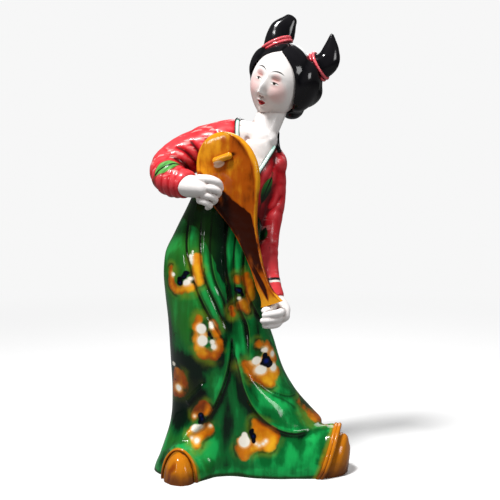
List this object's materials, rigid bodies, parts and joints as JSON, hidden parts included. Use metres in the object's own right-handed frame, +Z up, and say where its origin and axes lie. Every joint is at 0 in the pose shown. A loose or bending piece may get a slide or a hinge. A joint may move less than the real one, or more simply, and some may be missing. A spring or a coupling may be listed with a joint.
{
  "type": "glazed ceramic lute player figurine",
  "caption": "Glazed earthenware figurine of a standing court lady in a long draped gown who holds a pear-shaped lute neck down, her hair in two tied knots.",
  "frame": {"origin": "middle of the figure's width and depth, on the surface it stands on", "axes": "+Z up, front of the figure towards -Y, +X to a viewer's right"},
  "size_m": [0.1746, 0.1224, 0.4],
  "materials": {
    "skirt_glaze": "glossy green lead glaze with amber and white rosettes"
  },
  "bodies": {
    "root": {"musician_figure": "skirt_glaze"}
  },
  "joints": []
}
